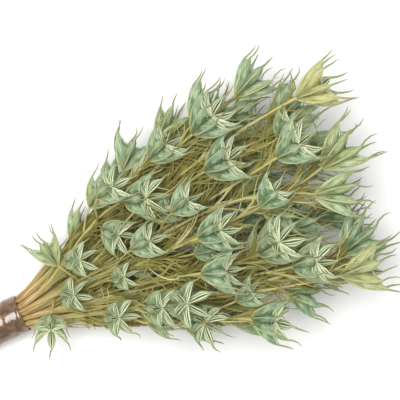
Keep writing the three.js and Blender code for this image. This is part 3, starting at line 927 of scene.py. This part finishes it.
# %% [markdown]
# ## Materials
# Everything here is dried plant but the wrap. Dry plant walls are matt, and their colour comes
# from what is left of the green, from the straw-coloured ribs, and from the fine veins. A photo
# texture could carry all that, but drawn patterns stay sharp at any distance and follow each
# follicle by its own map, so nodes draw them here.

# %% A colour from its hex value, and a new material
def hex_colour(text):
    def linear(byte):
        share = byte / 255
        return share / 12.92 if share <= 0.04045 else ((share + 0.055) / 1.055) ** 2.4

    return tuple(linear(int(text[i:i + 2], 16)) for i in (1, 3, 5)) + (1,)


def new_material(name):
    material = bpy.data.materials.new(name)
    material.use_nodes = True
    return material, material.node_tree.nodes["Principled BSDF"]


# %% One node with its settings, and colours in layers
COLOUR_A, COLOUR_B, MIXED = 6, 7, 2  # the colour sockets of a mix node go by number
NECK_X = NECK.x * MM  # materials count in metres


def add(material, kind, inputs=None, **settings):
    """Adds a node. An input takes a value, a hex colour, or another node's output."""
    tree = material.node_tree
    made = tree.nodes.new(kind)
    for name, value in settings.items():
        setattr(made, name, value)
    for socket, given in (inputs or {}).items():
        if isinstance(given, bpy.types.NodeSocket):
            tree.links.new(given, made.inputs[socket])
        else:
            value = hex_colour(given) if isinstance(given, str) else given
            made.inputs[socket].default_value = value
    return made


def paint(material, colour, *layers):
    """Lays more colours over the first. Each layer is a colour, the pattern that it follows, and
    the pattern's values where it starts and where it covers all; the start may be the larger."""
    for over, pattern, start, full in layers:
        cover = add(
            material, "ShaderNodeMapRange", {"Value": pattern, "From Min": start, "From Max": full},
            interpolation_type="SMOOTHSTEP",
        ).outputs["Result"]
        mixed = {"Factor": cover, COLOUR_A: colour, COLOUR_B: over}
        colour = add(material, "ShaderNodeMix", mixed, data_type="RGBA").outputs[MIXED]
    return colour


def dress(material, shader, colour, relief=None, height=0, strength=0):
    """Gives the shader its colour, and a relief of a height in mm where there is one."""
    links = material.node_tree.links
    links.new(colour, shader.inputs["Base Color"])
    if relief is not None:
        raised = {"Height": relief, "Distance": height * MM, "Strength": strength}
        bump = add(material, "ShaderNodeBump", raised)
        links.new(bump.outputs["Normal"], shader.inputs["Normal"])


# %% [markdown]
# ### The wall of a follicle
# The wall is papery plant tissue that has dried in the air, as thin as parchment. To the eye it is
# matt with a faint sheen, grey-green under a pale bloom, with raised veins from foot to beak, and
# it is bleached at the keel and the lips, where it folds. The wall is closed between the lips, and
# the shade in the slit there is painted on as a dark band. One pattern for all pods would look
# printed. So the folds and the painted shade of the slit follow the wall's own map, and the rest is
# drawn by place.

# %% Dried papery wall: bloom, veins, folds, painted shade in the slit, and beak
def follicle_material():
    material, shader = new_material("dried_follicle_wall")
    uv = add(material, "ShaderNodeUVMap", uv_map="UVMap").outputs["UV"]
    split = add(material, "ShaderNodeSeparateXYZ", {"Vector": uv})
    along, around = split.outputs["X"], split.outputs["Y"]
    place = add(material, "ShaderNodeTexCoord").outputs["Object"]
    lengthwise = add(material, "ShaderNodeSeparateXYZ", {"Vector": place}).outputs["X"]
    tint = add(material, "ShaderNodeAttribute", attribute_name="tint").outputs["Fac"]
    # 120 to the metre: blotches about 8 mm wide, where the bloom is rubbed off
    blotches = {"Scale": 120, "Detail": 3, "Roughness": 0.6, "Vector": place}
    blotch = add(material, "ShaderNodeTexNoise", blotches).outputs["Fac"]
    # Veins run from the foot towards the beak. Real ones are about 0.6 mm apart. These are 15 to
    # the 15 mm of the wall, so about 1 mm apart, because finer ones don't show from above.
    on_wall = {"Scale": (4, 15, 1), "Vector": uv}
    stretched = add(material, "ShaderNodeMapping", on_wall).outputs["Vector"]
    veins = {"Scale": 1, "Detail": 3, "Roughness": 0.6, "Distortion": 0.5, "Vector": stretched}
    vein = add(material, "ShaderNodeTexNoise", veins).outputs["Fac"]
    yellowed = paint(material, "#c9c389", ("#989253", vein, 0.55, 0.35))
    colour = paint(
        material, "#829774",
        ("#939a66", tint, 0.5, 1),  # some pods are yellower
        ("#708a68", tint, 0.35, 0),  # some are bluer
        ("#a3a973", lengthwise, NECK_X + 0.13, NECK_X + 0.04),  # the small ones near the neck
        ("#a4b996", blotch, 0.4, 0.7),  # bloom
        ("#75865b", blotch, 0.42, 0.22),  # rubbed off
        ("#c6d6b6", vein, 0.53, 0.68),  # raised veins
        ("#5d714b", vein, 0.47, 0.32),  # the green between them
        (yellowed, tint, 0.95, 1.6),  # pods that have turned
        ("#a09c63", along, 0.2, 0.02),  # the foot
        ("#bcc491", around, 0.06, 0.01),  # the keel
        ("#d6e0ba", around, 0.53, 0.6),  # the edge where the wall folds inwards
        ("#869a70", around, 0.61, 0.68),  # the inner wall
        ("#e0e6c0", around, 0.73, 0.79),  # the lips
        ("#4d5428", around, 0.86, 0.95),  # painted shade in the slit between them
        ("#98996a", along, 0.68, 0.8),  # the beak
        ("#6f6945", along, 0.88, 1),  # its dry tip
    )
    shader.inputs["Roughness"].default_value = 0.62
    shader.inputs["Specular IOR Level"].default_value = 0.35
    dress(material, shader, colour, relief=vein, height=0.6, strength=0.5)
    return material


# %% [markdown]
# ### Straw
# The stalks are straw: long plant fibres under a smooth skin that has dried in the air. To the eye
# they are a little glossier than the pods, with pale and dark streaks along them, and they brown
# towards the neck. A plain colour would make them look like wire, and rings or spots would look
# wrong, because fibres only run lengthwise. So the noise is stretched along the stalk's own map.

# %% Dried straw: long streaks, browner towards the neck
def straw_material():
    material, shader = new_material("dried_straw")
    uv = add(material, "ShaderNodeUVMap", uv_map="UVMap").outputs["UV"]
    place = add(material, "ShaderNodeTexCoord").outputs["Object"]
    lengthwise = add(material, "ShaderNodeSeparateXYZ", {"Vector": place}).outputs["X"]
    tint = add(material, "ShaderNodeAttribute", attribute_name="tint").outputs["Fac"]
    # 9 streaks to the 8 mm round a stem, so about 0.9 mm wide, and several centimetres long
    on_stalk = {"Scale": (6, 9, 1), "Vector": uv}
    stretched = add(material, "ShaderNodeMapping", on_stalk).outputs["Vector"]
    streaks = {"Scale": 1, "Detail": 3, "Roughness": 0.6, "Vector": stretched}
    streak = add(material, "ShaderNodeTexNoise", streaks).outputs["Fac"]
    # 45 to the metre: brown spots about 22 mm apart
    spots = {"Scale": 45, "Detail": 2, "Vector": place}
    spot = add(material, "ShaderNodeTexNoise", spots).outputs["Fac"]
    by_stalk = {"Factor": tint, COLOUR_A: "#c2b877", COLOUR_B: "#aaa667"}
    ground = add(material, "ShaderNodeMix", by_stalk, data_type="RGBA").outputs[MIXED]
    at_neck = paint(material, "#a17c42", ("#d3bc86", streak, 0.35, 0.6))
    colour = paint(
        material, ground,
        ("#dad19a", streak, 0.5, 0.7),  # pale streaks
        ("#837a3e", streak, 0.45, 0.25),  # dark ones between them
        ("#a48a42", spot, 0.58, 0.75),
        (at_neck, lengthwise, NECK_X + 0.045, NECK_X + 0.005),
    )
    shader.inputs["Roughness"].default_value = 0.55
    shader.inputs["Specular IOR Level"].default_value = 0.4
    dress(material, shader, colour, relief=streak, height=0.3, strength=0.5)
    return material


# %% [markdown]
# ### Shrivelled leaves
# A dried leaf thread is plant tissue that has shrunk round its rib. To the eye it is dull and
# olive brown, with a few that are still pale. Fine ribs could be drawn on it, but a thread is only
# 2 mm thick, so patches along it are all that shows from above.

# %% Shrivelled leaf: olive brown, a few still pale
def leaf_material():
    material, shader = new_material("shrivelled_leaf")
    place = add(material, "ShaderNodeTexCoord").outputs["Object"]
    tint = add(material, "ShaderNodeAttribute", attribute_name="tint").outputs["Fac"]
    # 80 to the metre: patches about 12 mm long
    patches = {"Scale": 80, "Detail": 2, "Vector": place}
    patch = add(material, "ShaderNodeTexNoise", patches).outputs["Fac"]
    colour = paint(
        material, "#77753c",
        ("#a59d58", tint, 0.1, 0.8),
        ("#c9c488", tint, 0.84, 0.92),  # the few pale ones, and the twigs
        ("#8f7638", patch, 0.58, 0.75),
    )
    shader.inputs["Roughness"].default_value = 0.7
    shader.inputs["Specular IOR Level"].default_value = 0.3
    dress(material, shader, colour)
    return material


# %% Grow the stems
plant = [straw_material(), follicle_material(), leaf_material()]
for number, stem in enumerate(stems, 1):
    node = f"seed_stem_{number:02d}"
    piece = finish_piece(grow_stem(number, stem), f"stem_{number:02d}", plant, node)
faces = sum(len(o.data.polygons) for o in bpy.data.objects if o.name.startswith("stem_"))
print("faces of all stems:", faces)

# %% [markdown]
# ## The wrap
# A brown film is wound a few turns round the neck. It is a smooth cast plastic, such as
# polypropylene, pulled tight over the uneven stems. To the eye it is glossy, with sharp lights
# that break up on small crinkles. A plain tube would do for one turn, but the edges of the turns
# show, so a rolled tube gets a small step at each turn, and the crinkles are left to the material.

# %% Glossy plastic film: a clear skin over brown, with crinkles
def film_material():
    material, shader = new_material("glossy_wrap_film")
    place = add(material, "ShaderNodeTexCoord").outputs["Object"]
    # 160 to the metre: crinkles about 6 mm apart
    crinkles = {"Scale": 160, "Detail": 3, "Distortion": 1, "Vector": place}
    crinkle = add(material, "ShaderNodeTexNoise", crinkles).outputs["Fac"]
    colour = paint(material, "#5c422c", ("#86674a", crinkle, 0.35, 0.7))
    shader.inputs["Roughness"].default_value = 0.28
    shader.inputs["Coat Weight"].default_value = 0.8
    shader.inputs["Coat Roughness"].default_value = 0.08
    dress(material, shader, colour, relief=crinkle, height=0.4, strength=0.4)
    return material


# %% Wind the film round the neck
FILM_TURNS = 4
FILM_STEP = 0.5  # mm that each turn stands over the next
FILM_TUCK = 0.5  # mm that the film is drawn in at both of its ends
FILM_ENDS = 0.04  # share of its length where it is drawn in
FILM_SAG = 0.25  # mm that it sinks in between the stems
SAGS_ALONG, SAGS_ACROSS = 9, 2
FILM_THICKNESS = 0.6  # mm, all its layers together
FILM_RINGS, FILM_SIDES = 48, 48


def wind_film():
    bm = new_bmesh()
    bmesh.ops.create_grid(
        bm, x_segments=FILM_RINGS, y_segments=FILM_SIDES, size=0.5, calc_uvs=True
    )
    for vertex in bm.verts:
        share, turn = vertex.co.x + 0.5, 2 * math.pi * (vertex.co.y + 0.5)
        wound = (share * FILM_TURNS + turn / (2 * math.pi)) % 1
        near_end = share_between(share, FILM_ENDS, 0) + share_between(share, 1 - FILM_ENDS, 1)
        across, above = SAGS_ACROSS * math.cos(turn), SAGS_ACROSS * math.sin(turn)
        sag = FILM_SAG * (1 + noise.noise(Vector((share * SAGS_ALONG, across, above))))
        radius = WRAP_FLAT - FILM_STEP * wound - FILM_TUCK * near_end
        radius -= sag
        x = -WRAP_LENGTH * (1 - share)
        vertex.co = Vector((x, radius * math.cos(turn), NECK_HEIGHT + radius * math.sin(turn)))
    bmesh.ops.remove_doubles(bm, verts=bm.verts, dist=0.001)
    bmesh.ops.recalc_face_normals(bm, faces=bm.faces)
    bmesh.ops.solidify(bm, geom=bm.faces[:], thickness=FILM_THICKNESS)
    bmesh.ops.translate(bm, verts=bm.verts, vec=NECK)
    bmesh.ops.recalc_face_normals(bm, faces=bm.faces)
    return bm


wrap = finish_piece(wind_film(), "wrap_film", [film_material()], "tie_wrap")
print("faces of the wrap:", len(wrap.data.polygons))

# %% [markdown]
# ## The table and the light
# The bunch lies on a plain table in matt white paint, which gives the eye no lights of its own. A
# sharp lamp would draw a hard shadow of every thread on it. So a large lamp nearly overhead gives
# the soft look of a product picture, a weak one lights the pods from their own end, and a white
# sky fills the shadows.

# %% The table
TABLE_HALF = 6  # m, so that its edge is out of every view
TABLE_DROP = 0.5 * MM  # the lowest pods don't cut into it

bm = bmesh.new()
bmesh.ops.create_grid(bm, x_segments=1, y_segments=1, size=TABLE_HALF)
table_mesh = bpy.data.meshes.new("table")
bm.to_mesh(table_mesh)
bm.free()
table = bpy.data.objects.new("table", table_mesh)
bpy.context.scene.collection.objects.link(table)
table.location.z = -TABLE_DROP
table_paint, paint_shader = new_material("matt_white_table")
paint_shader.inputs["Base Color"].default_value = hex_colour("#fbfbfa")
paint_shader.inputs["Roughness"].default_value = 0.9
table_mesh.materials.append(table_paint)


# %% The lamps and the sky
def soft_lamp(name, place, size, power):
    lamp_data = bpy.data.lights.new(name, "AREA")
    lamp_data.size = size
    lamp_data.energy = power
    lamp = bpy.data.objects.new(name, lamp_data)
    lamp.location = place
    lamp.rotation_euler = (looked_at * MM - Vector(place)).to_track_quat("-Z", "Y").to_euler()
    bpy.context.scene.collection.objects.link(lamp)


soft_lamp("key_lamp", place=(-0.05, 0.18, 1.4), size=0.8, power=20)
soft_lamp("fill_lamp", place=(0.9, -0.6, 1.2), size=1.2, power=1)
SKY_STRENGTH = 0.45
sky = bpy.data.worlds.new("sky")
bpy.context.scene.world = sky
sky.use_nodes = True
sky.node_tree.nodes["Background"].inputs["Color"].default_value = hex_colour("#ffffff")
sky.node_tree.nodes["Background"].inputs["Strength"].default_value = SKY_STRENGTH
bpy.context.scene.view_settings.view_transform = "Standard"
